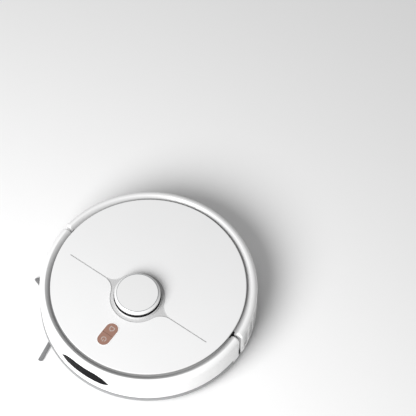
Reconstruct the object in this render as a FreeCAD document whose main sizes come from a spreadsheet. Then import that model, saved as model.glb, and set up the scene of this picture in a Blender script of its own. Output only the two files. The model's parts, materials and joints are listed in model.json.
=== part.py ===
import FreeCAD, Part
import Sketcher
import math
import os
import re

from FreeCAD import Placement, Rotation, Vector

# Robot vacuum. Millimetres. The origin is on the floor under the middle of the drive axle.
# +X points to the front of the robot, +Y to its left and +Z up.

os.makedirs("parts", exist_ok=True)
doc = FreeCAD.newDocument("RobotVacuum")

SIZES = {
    # casing
    "body_radius": 175, "wall_foot": 174, "shell_foot": 174.8, "wall_top": 173.7, "skin": 2.4,
    "crown_inner": 164.5, "crown_round": 8.5,
    "plate_radius": 156, "plate_top": 76, "plate_depth": 2.6, "plate_round": 1, "deck_radius": 153.5,
    "deck_depth": 2.8, "shell_flange": 149, "bumper_flange": 150.5, "flange_depth": 2.2,
    "underside": 10, "floor_depth": 2.5, "pan_radius": 158, "strip_bottom": 16.6,
    "strip_top": 24.2, "bumper_bottom": 25.2, "shell_bottom": 17.2, "rim_radius": 170.8,
    "bumper_end": 91.5, "shell_end": 93.4, "end_sweep": 2.6, "leg_sweep": 4.8, "end_round": 3,
    "strip_sweep": 172, "inner_wall": 166, "inner_wall_top": 66, "inner_wall_sweep": 174,
    # top plate
    "turret_x": 29.5, "channel_radius": 44, "groove_half": 133, "groove_width": 2.2,
    "groove_depth": 1.2, "flare_radius": 25,
    "button_x": 108, "button_length": 41, "button_width": 20, "button_gap": 0.5,
    "bezel_width": 1.3,
    # turret
    "turret_radius": 38, "turret_skin": 2.2, "slot_low": 81.2, "slot_high": 86.9,
    "turret_top": 93, "cap_radius": 36.6, "cap_crown": 32.3, "head_radius": 31,
    "sheave_radius": 24, "lidar_motor_reach": 33, "lidar_motor_sheave": 3,
    # window
    "window_half": 46, "window_low": 42.8, "window_high": 70.1, "window_tip": 50, "window_reach": 60,
    "belly_half": 34.5, "brow_half": 31, "tip_round": 1.5, "brow_round": 26, "belly_round": 22,
    # vents
    "vent_width": 13, "vent_low": 24, "vent_high": 69.5, "vent_depth": 1,
    "vent_start": 98.2, "vent_pitch": 6.3, "slot_pitch": 0.9,
    # drive wheels
    "wheel_radius": 33, "rim_of_wheel": 26, "wheel_in": 110, "wheel_out": 130,
    "axle_radius": 3, "running_gap": 0.05, "pivot_x": 50, "pivot_level": 36,
    # caster
    "caster_x": 124, "caster_trail": 6, "caster_radius": 11, "caster_pocket": 19.5,
    # main brush
    "brush_x": -66, "brush_level": 22, "brush_radius": 20, "core_radius": 8.5,
    "brush_half": 72, "brush_sheave": 10.5, "motor_sheave": 5.25,
    "brush_motor_x": -22, "brush_motor_level": 34,
    # side brush
    "side_x": 95.7, "side_y": -97, "tuft_reach": 88.1, "tuft_angle": 10.55,
    # dust bin
    "bin_front": -100, "bin_half": 64, "bin_low": 13.4, "bin_top": 61, "bin_skin": 2,
    "bin_rear": 173.2,
    # fan
    "fan_x": -58, "fan_y": 30, "fan_radius": 31, "fan_low": 49, "fan_top": 68,
}

sheet = doc.addObject("Spreadsheet::Sheet", "Sizes")
for row, (alias, value) in enumerate(SIZES.items(), start=1):
    sheet.set(f"A{row}", alias)
    sheet.set(f"B{row}", str(value))
    sheet.setAlias(f"B{row}", alias)
doc.recompute()

nodes = []
ALONG = {
    "x": Rotation(Vector(0, 1, 0), 90),
    "y": Rotation(Vector(1, 0, 0), -90),
    "z": Rotation(),
}


# ---------------------------------------------------------------- helpers

def cell(text):
    """The text with each alias turned into a reference to its cell."""
    return re.sub(r"[a-z_]+", lambda found: "Sizes." + found[0] if found[0] in SIZES else found[0], text)


def size(alias):
    """A driving dimension, for the few pieces that are shaped in code."""
    return float(sheet.get(alias))


def bind(obj, **properties):
    """Bind each property to the sheet. Placement.Base.x is written as base_x."""
    for key, text in properties.items():
        path = key.replace("base_", "Placement.Base.")
        obj.setExpression(path, cell(text))
    return obj


def block(name, x, y, z):
    """A box between two levels along each axis."""
    box = doc.addObject("Part::Box", name)
    bind(box, Length=f"({x[1]}) - ({x[0]})", Width=f"({y[1]}) - ({y[0]})", Height=f"({z[1]}) - ({z[0]})")
    return bind(box, base_x=x[0], base_y=y[0], base_z=z[0])


def rod(name, radius, span, centre, along="z"):
    """A cylinder along one axis. The centre gives the other two coordinates in X, Y, Z order."""
    cylinder = doc.addObject("Part::Cylinder", name)
    cylinder.Placement = Placement(Vector(), ALONG[along])
    bind(cylinder, Radius=radius, Height=f"({span[1]}) - ({span[0]})")
    others = [axis for axis in "xyz" if axis != along]
    bases = {f"base_{along}": span[0], f"base_{others[0]}": centre[0], f"base_{others[1]}": centre[1]}
    return bind(cylinder, **bases)


def ring(name, outer, inner, span, centre, along="z"):
    """A tube along one axis."""
    return cut(name, rod(name + "_outside", outer, span, centre, along),
               rod(name + "_bore", inner, span, centre, along))


def join(name, *pieces):
    fuse = doc.addObject("Part::MultiFuse", name)
    fuse.Shapes = list(pieces)
    return fuse


def group(name, *pieces):
    """Separate solids that share one node."""
    compound = doc.addObject("Part::Compound", name)
    compound.Links = list(pieces)
    return compound


def cut(name, base, *tools):
    result = doc.addObject("Part::Cut", name)
    result.Base = base
    result.Tool = tools[0] if len(tools) == 1 else join(name + "_tools", *tools)
    return result


def common(name, base, tool):
    result = doc.addObject("Part::Common", name)
    result.Base = base
    result.Tool = tool
    return result


def spun(name, piece, degrees, centre=(0, 0)):
    """A copy of the piece turned about a vertical line."""
    copy = group(name, piece)
    copy.Placement = Placement(Vector(), Rotation(Vector(0, 0, 1), degrees), Vector(*centre, 0))
    return copy


def mirrored(name, piece):
    """The same piece on the robot's other side."""
    mirror = doc.addObject("Part::Mirroring", name)
    mirror.Source = piece
    mirror.Normal = Vector(0, 1, 0)
    return mirror


def capsule(name, length, width, x, z):
    """A long round-ended block that runs along X."""
    reach = f"({length}) / 2 - ({width}) / 2"
    middle = block(name + "_middle", (f"{x} - ({reach})", f"{x} + ({reach})"),
                   (f"-({width}) / 2", f"({width}) / 2"), z)
    ends = [rod(f"{name}_{end}_end", f"({width}) / 2", z, (f"{x} {sign} ({reach})", "0"))
            for end, sign in (("rear", "-"), ("front", "+"))]
    return join(name, middle, *ends)


def origin_plane(body, role):
    return next(plane for plane in body.Origin.OriginFeatures if plane.Role == role)


def sketch_on(body, name, role, corners):
    """A closed outline whose corners are bound to the sheet; "0" lies on the axis."""
    sketch = body.newObject("Sketcher::SketchObject", name)
    sketch.AttachmentSupport = [(origin_plane(body, role), "")]
    sketch.MapMode = "FlatFace"
    count = len(corners)
    start = [Vector(50 + 20 * math.cos(6.28 * i / count), 50 + 20 * math.sin(6.28 * i / count), 0)
             for i in range(count)]
    for i in range(count):
        sketch.addGeometry(Part.LineSegment(start[i], start[(i + 1) % count]), False)
    for i in range(count):
        sketch.addConstraint(Sketcher.Constraint("Coincident", i, 2, (i + 1) % count, 1))
    for i, corner in enumerate(corners):
        for kind, text, axis, value in (("DistanceX", corner[0], -2, start[i].x),
                                        ("DistanceY", corner[1], -1, start[i].y)):
            if text == "0":
                sketch.addConstraint(Sketcher.Constraint("PointOnObject", i, 1, axis))
                continue
            number = sketch.addConstraint(Sketcher.Constraint(kind, -1, 1, i, 1, value))
            sketch.setExpression(f"Constraints[{number}]", cell(text))
    return sketch


def turned(name, corners, sweep="360"):
    """A body of revolution about Z, from an outline of (radius, level) corners."""
    body = doc.addObject("PartDesign::Body", name)
    outline = sketch_on(body, name + "_outline", "XZ_Plane", corners)
    revolution = body.newObject("PartDesign::Revolution", name + "_turn")
    revolution.Profile = outline
    revolution.ReferenceAxis = (outline, ["V_Axis"])
    revolution.Midplane = True
    revolution.setExpression("Angle", cell(sweep))
    outline.Visibility = False
    return body


def padded(name, corners, low, high):
    """A body with a flat outline in XY, from one level to another."""
    body = doc.addObject("PartDesign::Body", name)
    outline = sketch_on(body, name + "_outline", "XY_Plane", corners)
    pad = body.newObject("PartDesign::Pad", name + "_pad")
    pad.Profile = outline
    pad.setExpression("Length", cell(f"({high}) - ({low})"))
    body.setExpression("Placement.Base.z", cell(low))
    return body


def rounded(body, radius, wanted):
    """Fillet the body's last feature on the edges that the test picks out."""
    doc.recompute()
    base = body.Tip
    names = [f"Edge{i}" for i, edge in enumerate(base.Shape.Edges, start=1) if wanted(edge)]
    fillet = body.newObject("PartDesign::Fillet", body.Name + "_round")
    fillet.Base = (base, names)
    fillet.setExpression("Radius", cell(radius))
    body.Tip = fillet
    return body


def circle_at(radius, level):
    """A test for a horizontal round edge about Z."""
    def wanted(edge):
        curve = edge.Curve
        return (isinstance(curve, Part.Circle) and abs(curve.Radius - radius) < 0.01
                and abs(curve.Center.z - level) < 0.01)
    return wanted


def any_of(*tests):
    return lambda edge: any(test(edge) for test in tests)


def coded(name, shape):
    """A piece that neither bodies nor primitives suit; its sizes come from the sheet."""
    feature = doc.addObject("Part::Feature", name)
    feature.Shape = shape
    return feature


def node(name, piece):
    """Give the finished piece its node name."""
    piece.Label = name
    nodes.append(piece)
    return piece


def belt_loop(first, second, first_radius, second_radius, thickness, width, axis):
    """A flat belt round two pulleys, as a solid between two offset loops."""
    def loop(extra):
        big, small = first_radius + extra, second_radius + extra
        line = second - first
        reach = line.Length
        along = Vector(line).normalize()
        side = axis.cross(along)
        lean = math.acos((big - small) / reach)

        def point(centre, radius, turn):
            return centre + along * (radius * math.cos(turn)) + side * (radius * math.sin(turn))
        edges = [
            Part.Arc(point(first, big, lean), point(first, big, math.pi), point(first, big, -lean)).toShape(),
            Part.makeLine(point(first, big, -lean), point(second, small, -lean)),
            Part.Arc(point(second, small, -lean), point(second, small, 0), point(second, small, lean)).toShape(),
            Part.makeLine(point(second, small, lean), point(first, big, lean)),
        ]
        return Part.Face(Part.Wire(edges)).extrude(axis * width)
    return loop(thickness).cut(loop(0))


def coil(radius, wire, height, turns, start, direction):
    """A helical spring."""
    spine = Part.makeHelix(height / turns, height, radius)
    section = Part.Wire(Part.makeCircle(wire, Vector(radius, 0, 0), Vector(0, 1, 0)))
    spring = Part.Wire(spine).makePipeShell([section], True, True)
    spring.Placement = Placement(start, Rotation(Vector(0, 0, 1), direction))
    return spring


# ---------------------------------------------------------------- casing

DECK_TOP = "plate_top - plate_depth"
DECK_LOW = "plate_top - plate_depth - deck_depth"
POSTS = [("130", "52"), ("130", "-52"), ("36", "84"), ("36", "-84"), ("-104", "104"), ("-104", "-104")]


def outer_outline(foot_radius, foot, shelf):
    """The outside of the casing's section: wall, crown and the slope that dives under the plate."""
    return [
        (foot_radius, foot),
        ("wall_top", "plate_top"),
        ("crown_inner", "plate_top"),
        (f"crown_inner - plate_top + ({shelf})", shelf),
    ]


def shell_outline(foot_radius, foot, shelf, flange):
    """The section that the bumper and the rear shell share, with its inward shelf."""
    return outer_outline(foot_radius, foot, shelf) + [
        (flange, shelf),
        (flange, f"({shelf}) - flange_depth"),
        (f"crown_inner - plate_top + ({shelf}) + 1", f"({shelf}) - flange_depth"),
        ("crown_inner + 1", "plate_top - skin"),
        ("wall_top - skin", "plate_top - skin"),
        (f"{foot_radius} - skin", foot),
    ]


def soft_crown(body):
    """Round the wall's upper edge, outside and inside."""
    rounded(body, "crown_round", circle_at(size("wall_top"), size("plate_top")))
    return rounded(body, "crown_round - skin - 1.2",
                   circle_at(size("wall_top") - size("skin"), size("plate_top") - size("skin")))


def end_block(name, foot_radius, foot, shelf, ledge, start, towards):
    """The closed end of the bumper or shell, with a rounded edge on the side of the gap."""
    body = turned(name, outer_outline(foot_radius, foot, shelf) + [
        (f"crown_inner - plate_top + ({shelf})", f"({shelf}) - flange_depth"),
        (f"{foot_radius} - skin - 1.4", ledge),
        (f"{foot_radius} - skin", ledge),
        (f"{foot_radius} - skin", foot),
    ], "end_sweep")
    rounded(body, "crown_round", circle_at(size("wall_top"), size("plate_top")))
    half = math.radians(size("end_sweep") / 2)

    def on_gap_edge(place):
        """The place lies on the face beside the gap, on the crown or the outside of the wall."""
        reach = math.hypot(place.x, place.y)
        on_crown = place.z > size("plate_top") - 0.1 and reach > size("crown_inner") - 0.1
        beside_gap = abs(math.atan2(place.y, place.x) + towards * half) < 0.001
        return beside_gap and (on_crown or reach > size("wall_top") - 0.1)

    def faces_the_gap(edge):
        return on_gap_edge(edge.valueAt(edge.FirstParameter)) and on_gap_edge(edge.valueAt(edge.LastParameter))
    rounded(body, "end_round", faces_the_gap)
    left = spun(name + "_left", body, size(start) + towards * size("end_sweep") / 2)
    return left, mirrored(name + "_right", left)


def make_base_chassis():
    """The pan that carries everything, with the wheel wells and the caster socket."""
    pan = turned("pan", [
        ("0", "underside"),
        ("pan_radius", "underside"),
        ("body_radius", "strip_bottom"),
        ("body_radius", "strip_top"),
        ("body_radius - skin", "strip_top"),
        ("body_radius - skin", "strip_bottom + 1.6"),
        ("pan_radius", "underside + floor_depth"),
        ("0", "underside + floor_depth"),
    ])
    front_wall = turned("front_wall", [
        ("inner_wall", "underside + 2"),
        ("inner_wall", "inner_wall_top"),
        ("inner_wall - skin", "inner_wall_top"),
        ("inner_wall - skin", "underside + 2"),
    ], "inner_wall_sweep")
    rim = ring("rear_rim", "body_radius + 2", "rim_radius", ("shell_bottom - 0.1", "strip_top + 1"), ("0", "0"))
    rim_foot = ring("rear_foot", "body_radius + 2", "wall_foot - 1", ("underside - 1", "strip_top + 1"), ("0", "0"))
    strip_room = block("strip_room", ("body_radius * cos(strip_sweep / 2)", "200"), ("-200", "200"), ("0", "60"))
    rear_rim = cut("rear_rim_cut", join("rear_rim_rings", rim, rim_foot), strip_room)
    wells, openings = [], []
    well = block("left_well", ("-38", "62"), ("88", "134"), ("underside", "68.5"))
    room = block("left_well_room", ("-36", "60"), ("90", "132"), ("underside - 1", "66.5"))
    for side, outer, inner in (("left", well, room), ("right", mirrored("right_well", well),
                                                      mirrored("right_well_room", room))):
        wells.append(outer)
        openings.append(inner)
    socket = rod("caster_socket", "caster_pocket + 2.5", ("underside", "34"), ("caster_x", "0"))
    collar = rod("caster_collar", "8", ("33", "41"), ("caster_x", "0"))
    openings += [
        rod("caster_room", "caster_pocket", ("underside - 1", "31.5"), ("caster_x", "0")),
        rod("caster_bore", "4 + running_gap", ("31", "42"), ("caster_x", "0")),
        block("brush_opening", ("brush_x - 22", "brush_x + 22"), ("-80", "80"), ("0", "14")),
        block("belt_opening", ("brush_x - 13", "brush_x + 13"), ("79", "86"), ("0", "14")),
        block("battery_opening", ("8", "86"), ("-70", "70"), ("0", "14")),
        rod("side_brush_opening", "4.4", ("0", "14"), ("side_x", "side_y")),
        block("bin_way", ("-200", "bin_front"), ("-bin_half - 0.7", "bin_half + 0.7"), ("bin_low - 0.4", "60")),
        block("contact_seats", ("-152", "-132"), ("-40", "-22"), ("0", "underside + 0.8")),
        block("contact_seats_left", ("-152", "-132"), ("22", "40"), ("0", "underside + 0.8")),
    ]
    eye = rod("cliff_eye", "6", ("0", "underside + 1.6"), ("150", "0"))
    openings += [spun(f"cliff_seat_{turn + 90}", eye, turn) for turn in (-64, -22, 22, 64)]
    bosses = []
    for number, (x, y) in enumerate(POSTS):
        bosses.append(rod(f"post_{number}", "4.5", ("underside", DECK_LOW), (x, y)))
        openings.append(rod(f"post_screw_{number}", "3", ("0", "underside + 1.8"), (x, y)))
        openings.append(rod(f"post_thread_{number}", "1.5", ("0", "30"), (x, y)))
    saddle = block("motor_saddle", ("brush_motor_x - 12", "brush_motor_x + 12"), ("26", "66"),
                   ("underside + 1", "brush_motor_level - 12.5"))
    solid = join("chassis_solid", pan, front_wall, saddle, *wells, socket, collar, *bosses)
    return cut("chassis", solid, rear_rim, *openings, *pivot_bores())


def pivot_bores():
    bore = rod("left_pivot_bore", "axle_radius", ("87", "140"), ("pivot_x", "pivot_level"), "y")
    return [bore, mirrored("right_pivot_bore", bore)]


def make_rear_shell():
    """The rear half of the wall, with the flange that the deck sits on and the side vents."""
    body = soft_crown(turned("shell", shell_outline("shell_foot", "shell_bottom", DECK_LOW, "shell_flange"),
                             "2 * (180 - shell_end - end_sweep / 2)"))
    body.Placement = Placement(Vector(), Rotation(Vector(0, 0, 1), 180))
    ends = end_block("shell_end_block", "shell_foot", "shell_bottom", DECK_LOW, "strip_top + 2", "shell_end", 1)
    mouth = block("bin_mouth", ("-200", "-120"), ("-bin_half - 0.6", "bin_half + 0.6"), ("0", "bin_top + 0.5"))
    recess = block("vent_recess", ("wall_top - vent_depth", "body_radius + 5"),
                   ("-vent_width / 2", "vent_width / 2"), ("vent_low", "vent_high"))
    slot = block("vent_slot", ("160", "body_radius + 5"), ("-0.6", "0.6"), ("vent_low + 3", "vent_high - 10"))
    tools = [mouth]
    for index in range(3):
        turn = size("vent_start") + size("vent_pitch") * index
        tools += [spun(f"left_recess_{index}", recess, turn), spun(f"right_recess_{index}", recess, -turn)]
        tools += [spun(f"slot_{index}_{part + 2}", slot, turn + size("slot_pitch") * part)
                  for part in (-2, -1, 0, 1, 2)]
    posts = [rod(f"shell_post_{number}", "4.65", ("0", "80"), POSTS[number]) for number in (4, 5)]
    return cut("rear_casing", join("rear_casing_solid", body, *ends), *tools, *posts)


def make_mid_frame():
    """The deck under the top plate."""
    disc = rod("deck", "deck_radius", (DECK_LOW, DECK_TOP), ("0", "0"))
    standoffs = [rod(f"standoff_{x}_{y}", "3", ("60.6", DECK_LOW), (x, y))
                 for x, y in (("86", "42"), ("86", "-42"), ("134", "40"), ("134", "-40"))]
    return cut("deck_plate", join("deck_solid", disc, *standoffs),
               rod("deck_turret_hole", "channel_radius + 2.3", ("60", "80"), ("turret_x", "0")),
               capsule("deck_button_hole", "button_length + 7", "button_width + 7", "button_x", ("60", "80")))


def make_top_plate():
    """The round plate, with the channel round the turret and the two thin grooves."""
    plate = turned("plate_blank", [
        ("0", DECK_TOP),
        ("plate_radius", DECK_TOP),
        ("plate_radius", "plate_top"),
        ("0", "plate_top"),
    ])
    rounded(plate, "plate_round", circle_at(size("plate_radius"), size("plate_top")))
    low = ("plate_top - groove_depth", "plate_top + 1")
    line = block("groove", ("turret_x - groove_width / 2", "turret_x + groove_width / 2"),
                 ("-groove_half", "groove_half"), low)
    channel = rod("channel", "channel_radius", low, ("turret_x", "0"))
    offset = size("flare_radius") + size("groove_width") / 2
    touch = math.sqrt((size("channel_radius") + size("flare_radius")) ** 2 - offset ** 2)
    share = size("channel_radius") / (size("channel_radius") + size("flare_radius"))
    throat = block("flare_block", (f"turret_x - {offset * share:.3f}", f"turret_x + {offset * share:.3f}"),
                   (f"{touch * share:.3f} - 8", f"{touch:.3f}"), low)
    sides = [rod(f"flare_side_{name}", "flare_radius", ("70", "80"),
                 (f"turret_x {sign} {offset:.3f}", f"{touch:.3f}"))
             for name, sign in (("rear", "-"), ("front", "+"))]
    flare = cut("left_flare", throat, *sides)
    return cut("top_disc", plate, line, channel, flare, mirrored("right_flare", flare),
               rod("plate_turret_hole", "turret_radius + 0.1", ("60", "80"), ("turret_x", "0")),
               capsule("plate_button_hole", "button_length + 2 * bezel_width + 0.2",
                       "button_width + 2 * bezel_width + 0.2", "button_x", ("60", "80")))


def make_bumper_blank():
    """The front half of the wall before its window is cut, with a closed end and a leg at each side."""
    shelf = f"{DECK_LOW} - 2"
    body = soft_crown(turned("bumper_wall", shell_outline("wall_foot", "bumper_bottom", shelf, "bumper_flange"),
                             "2 * (bumper_end - end_sweep / 2)"))
    ends = end_block("bumper_end_block", "wall_foot", "bumper_bottom", shelf, "bumper_bottom + 1",
                     "bumper_end", -1)
    leg = turned("bumper_leg", [
        ("wall_foot - skin", "shell_bottom + 0.4"),
        ("wall_foot", "shell_bottom + 0.4"),
        ("wall_foot", "bumper_bottom + 1"),
        ("wall_foot - skin", "bumper_bottom + 1"),
    ], "leg_sweep")
    left_leg = spun("bumper_left_leg", leg, size("bumper_end") - size("leg_sweep") / 2 - 0.3)
    return join("bumper_blank", body, *ends, left_leg, mirrored("bumper_right_leg", left_leg))


def window_shape(name, shrink):
    """The window's outline, cut out of a round wall: pointed ends, wide soft shoulders and a flat belly."""
    body = doc.addObject("PartDesign::Body", name)
    outline = sketch_on(body, name + "_outline", "YZ_Plane", [
        (f"-(window_half - {shrink})", "window_tip"),
        ("-belly_half", f"window_low + {shrink}"),
        ("belly_half", f"window_low + {shrink}"),
        (f"window_half - {shrink}", "window_tip"),
        ("brow_half", f"window_high - {shrink}"),
        ("-brow_half", f"window_high - {shrink}"),
    ])
    pad = body.newObject("PartDesign::Pad", name + "_pad")
    pad.Profile = outline
    pad.setExpression("Length", cell("window_reach"))
    body.Tip = pad
    body.setExpression("Placement.Base.x", cell("inner_wall - 3"))

    def upright(low, high):
        def wanted(edge):
            level = edge.valueAt(edge.FirstParameter).z
            return abs(edge.tangentAt(edge.FirstParameter).x) > 0.99 and low < level < high
        return wanted
    tip, low, high = size("window_tip"), size("window_low"), size("window_high")
    rounded(body, "tip_round", upright(tip - 1, tip + 1))
    rounded(body, "brow_round", upright(high - 1, high + 1))
    return rounded(body, "belly_round", upright(low - 1, low + 1))


# ---------------------------------------------------------------- turret

TURRET = ("turret_x", "0")


def make_turret_base():
    base = turned("turret_ring", [
        ("turret_radius - turret_skin", DECK_LOW),
        ("channel_radius + 2", DECK_LOW),
        ("channel_radius + 2", DECK_TOP),
        ("turret_radius", DECK_TOP),
        ("turret_radius", "slot_low"),
        ("head_radius + 1.6", "slot_low"),
        ("head_radius + 1.6", "slot_low - 1.5"),
        ("turret_radius - turret_skin", "slot_low - 1.5"),
    ])
    rounded(base, "0.8", circle_at(size("turret_radius"), size("slot_low")))
    bind(base, base_x="turret_x")
    return base


def make_turret_cap():
    """The fixed cap on its three legs."""
    cap = turned("cap_blank", [
        ("0", "turret_top"),
        ("cap_crown", "turret_top"),
        ("cap_radius", "turret_top - 3"),
        ("cap_radius", "slot_high"),
        ("cap_radius - turret_skin", "slot_high"),
        ("cap_radius - turret_skin", "turret_top - 3.6"),
        ("cap_crown - 2", "turret_top - 2.2"),
        ("0", "turret_top - 2.2"),
    ])
    rounded(cap, "1.2", any_of(circle_at(size("cap_crown"), size("turret_top")),
                               circle_at(size("cap_radius"), size("turret_top") - 3)))
    bind(cap, base_x="turret_x")
    leg = rod("cap_leg", "1.3", ("slot_low", "turret_top - 2.6"), ("34.2", "0"))
    legs = []
    for number, turn in enumerate((-53, 127, 217)):
        standing = spun(f"cap_leg_{number}", leg, turn)
        standing.Placement.Base = Vector(size("turret_x"), 0, 0)
        legs.append(standing)
    return join("cap", cap, *legs)


def lens_rods(name, radius, start, end):
    return [rod(f"{name}_{word}", radius, (f"turret_x + {start}", f"turret_x + {end}"), (y, "83"), "x")
            for word, y in (("emitter", "8"), ("receiver", "-6"))]


def make_lidar_rotor():
    rotor = turned("rotor", [
        ("0", "57"), ("5", "57"), ("5", "65.5"),
        ("sheave_radius", "65.5"), ("sheave_radius", "70"),
        ("16", "70"), ("16", "79"),
        ("head_radius", "79"), ("head_radius", "slot_high - 0.5"), ("0", "slot_high - 0.5"),
    ])
    bind(rotor, base_x="turret_x")
    return cut("lidar_head", rotor, *lens_rods("lens_seat", "3", "22", "35"))


def make_lidar_lenses():
    return group("lenses", *lens_rods("lens", "3", "22.5", "29.5"))


def lidar_motor_place():
    turn = math.radians(-115)
    reach = size("lidar_motor_reach")
    return size("turret_x") + reach * math.cos(turn), reach * math.sin(turn)


def make_lidar_bracket():
    x, y = lidar_motor_place()
    plate = rod("bracket_disc", "channel_radius + 2", ("57.5", "60"), TURRET)
    posts = []
    for number, turn in enumerate((60, 180, 300)):
        px = f"turret_x + (channel_radius - 2) * cos({turn})"
        py = f"(channel_radius - 2) * sin({turn})"
        posts.append(rod(f"bracket_post_{number}", "3", ("59", DECK_LOW), (px, py)))
    return cut("bracket", join("bracket_solid", plate, *posts),
               rod("bearing_seat", "11", ("50", "61"), TURRET),
               rod("motor_shaft_hole", "1.6", ("50", "61"), (f"{x:.3f}", f"{y:.3f}")))


def make_lidar_motor_pulley():
    x, y = lidar_motor_place()
    place = (f"{x:.3f}", f"{y:.3f}")
    return join("small_pulley", rod("lidar_shaft", "1", ("57.6", "66"), place),
                rod("lidar_sheave", "lidar_motor_sheave", ("65.5", "70"), place))


def make_lidar_belt():
    x, y = lidar_motor_place()
    gap = size("running_gap")
    return coded("lidar_belt_loop", belt_loop(
        Vector(size("turret_x"), 0, 66.6), Vector(x, y, 66.6),
        size("sheave_radius") + gap, size("lidar_motor_sheave") + gap, 1, 2, Vector(0, 0, 1)))


# ---------------------------------------------------------------- buttons and board

# X, Y, length, width and height of each part on the board
CHIPS = [(98, 0, 6, 6, 0.4), (118, 0, 6, 6, 0.4), (100, 22, 14, 14, 1.4), (122, 24, 10, 10, 1.2),
         (98, -24, 12, 18, 1.4), (122, -22, 8, 8, 5), (134, 0, 6, 24, 6)]


def make_bezel():
    levels = (DECK_TOP, "plate_top + 0.35")
    return cut("bezel", capsule("bezel_out", "button_length + 2 * bezel_width", "button_width + 2 * bezel_width",
                                "button_x", levels),
               capsule("bezel_in", "button_length + 0.2", "button_width + 0.2", "button_x", ("70", "80")))


def make_button(name, far, near):
    """One half of the capsule, on a stem that reaches down to its switch."""
    face = common(name + "_face", capsule(name + "_capsule", "button_length", "button_width", "button_x",
                                          ("plate_top - 2", "plate_top + 0.2")),
                  block(name + "_half", (f"button_x + ({near})", f"button_x + ({far})"), ("-20", "20"), ("60", "90")))
    stem = rod(name + "_stem", "2", ("62", "plate_top - 1.5"), (f"button_x + ({near} + {far}) / 2 * 0.83", "0"))
    return join(name + "_solid", face, stem)


def make_main_board():
    """The circuit board that hangs from the deck, with its chips and the two button switches."""
    parts = [block("board", ("80", "140"), ("-47", "47"), ("59", "60.6"))]
    for number, (x, y, wide, deep, tall) in enumerate(CHIPS):
        parts.append(block(f"chip_{number}", (f"{x - wide / 2}", f"{x + wide / 2}"),
                           (f"{y - deep / 2}", f"{y + deep / 2}"), ("60.5", f"{60.6 + tall}")))
    return join("board_solid", *parts)


# ---------------------------------------------------------------- drive wheels

def make_arm():
    """The left wheel's gearbox arm on its pivot, with the fixed axle."""
    body = join("arm_solid", block("arm_beam", ("-14", "pivot_x"), ("91.5", "107.5"), ("24", "42")),
                rod("arm_pivot_boss", "8", ("91.5", "107.5"), ("pivot_x", "pivot_level"), "y"),
                rod("arm_hub_boss", "13", ("91.5", "108.5"), ("0", "wheel_radius"), "y"),
                rod("arm_axle", "axle_radius", ("100", "wheel_out + 1"), ("0", "wheel_radius"), "y"))
    return cut("arm", body, rod("arm_pivot_bore", "axle_radius + running_gap", ("80", "120"),
                                ("pivot_x", "pivot_level"), "y"))


def make_hub():
    hub = rod("hub_disc", "rim_of_wheel", ("wheel_in", "wheel_out"), ("0", "wheel_radius"), "y")
    pockets = [rod(f"hub_pocket_{turn}", "5.5", ("wheel_out - 12", "wheel_out + 1"),
                   (f"15.5 * cos({turn})", f"wheel_radius + 15.5 * sin({turn})"), "y")
               for turn in range(18, 378, 72)]
    return cut("hub", hub, *pockets, rod("hub_bore", "axle_radius + running_gap", ("100", "140"),
                                         ("0", "wheel_radius"), "y"))


def make_tyre():
    """A rubber tyre with slanted tread grooves."""
    band = ring("tyre_band", "wheel_radius", "rim_of_wheel", ("0", "wheel_out - wheel_in"), ("0", "0"))
    groove = block("tread_groove", ("wheel_radius - 2", "wheel_radius + 2"), ("-1.3", "1.3"), ("-2", "22"))
    tyre = cut("tyre", band, *[spun(f"tread_{turn}", groove, turn) for turn in range(0, 360, 15)])
    tyre.Placement = Placement(Vector(0, size("wheel_in"), size("wheel_radius")), ALONG["y"])
    return tyre


def make_wheel_spring(name, side):
    return coded(name, coil(4.2, 0.8, 18.4, 5, Vector(-6, side * 99.5, 47.1), 90))


# ---------------------------------------------------------------- caster

def make_caster_fork():
    centre = ("caster_x", "0")
    axle_x = "caster_x - caster_trail"
    cheeks = [block(f"cheek_{side}", (f"{axle_x} - 4", f"{axle_x} + 8"), y, ("6.5", "26"))
              for side, y in (("left", ("6.8", "9.3")), ("right", ("-9.3", "-6.8")))]
    solid = join("fork_solid", rod("fork_disc", "caster_pocket - 1.2", ("25", "30.8"), centre),
                 rod("fork_stem", "4", ("30", "42"), centre), *cheeks)
    return cut("fork", solid, rod("fork_bore", "1.5", ("-12", "12"), (axle_x, "caster_radius"), "y"))


def make_caster_wheel():
    axle_x = "caster_x - caster_trail"
    return ring("caster_roller", "caster_radius", "1.5 + running_gap", ("-6", "6"), (axle_x, "caster_radius"), "y")


# ---------------------------------------------------------------- main brush

BRUSH = ("brush_x", "brush_level")
BRUSH_MOTOR = ("brush_motor_x", "brush_motor_level")


def make_brush_housing():
    box = block("tunnel_block", ("brush_x - 24", "brush_x + 23"), ("-78", "78"), ("underside + floor_depth", "47"))
    return cut("tunnel", box,
               rod("tunnel_bore", "brush_radius + 1.5", ("-brush_half - 0.7", "brush_half + 0.7"), BRUSH, "y"),
               block("tunnel_mouth", ("brush_x - 21.5", "brush_x + 21.5"), ("-brush_half - 0.7", "brush_half + 0.7"),
                     ("0", "brush_level")),
               rod("bearing_seats", "9", ("-80", "80"), BRUSH, "y"),
               block("suction_outlet", ("brush_x - 26", "brush_x - 17"), ("-36", "36"), ("26", "40")))


def make_brush_core():
    return join("core_solid", rod("core", "core_radius", ("-brush_half", "brush_half"), BRUSH, "y"),
                rod("journals", "4", ("-77", "85"), BRUSH, "y"))


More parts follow.
